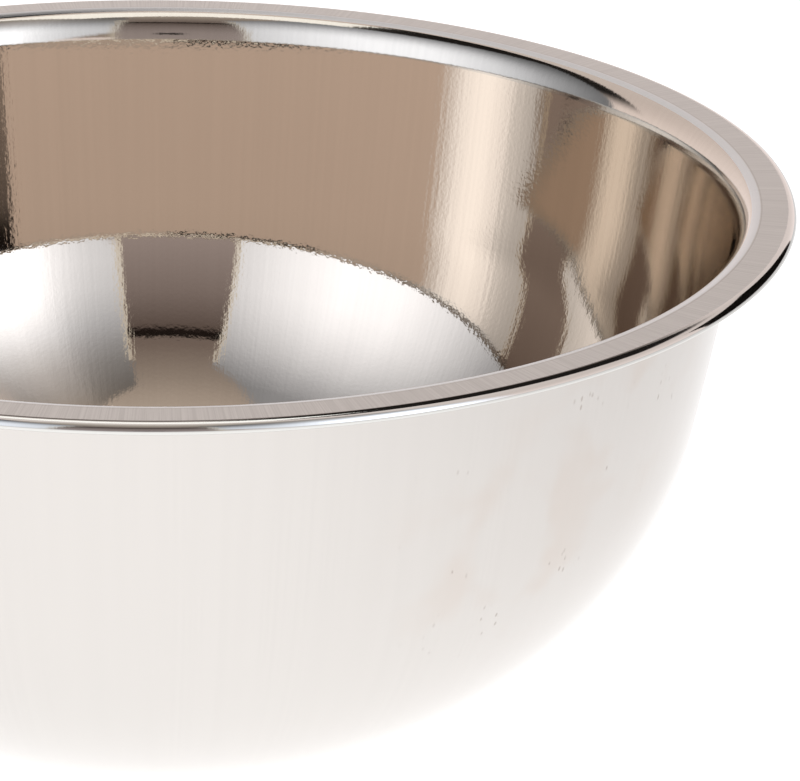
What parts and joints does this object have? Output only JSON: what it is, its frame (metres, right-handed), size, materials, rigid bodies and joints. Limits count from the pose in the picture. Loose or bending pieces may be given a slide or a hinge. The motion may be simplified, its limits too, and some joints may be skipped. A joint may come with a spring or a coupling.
{
  "type": "mixing bowl",
  "caption": "Deep round steel mixing bowl: near-upright wall, big rounded corner, flat base, flared neck, flat brushed flange and a curled-under edge.",
  "frame": {"origin": "on the bowl's axis, on the plane that its flat base rests on", "axes": "+Z along the bowl's axis, from the base up through the open mouth; X and Y are any two level directions, because the bowl is round"},
  "size_m": [0.332, 0.332, 0.1418],
  "materials": {
    "stainless_steel": "mirror-polished inside and outside, with fine polishing lines running up the wall; the flange is brushed radially and its curled edge is polished"
  },
  "bodies": {
    "root": {"bowl_shell": "stainless_steel"}
  },
  "joints": []
}
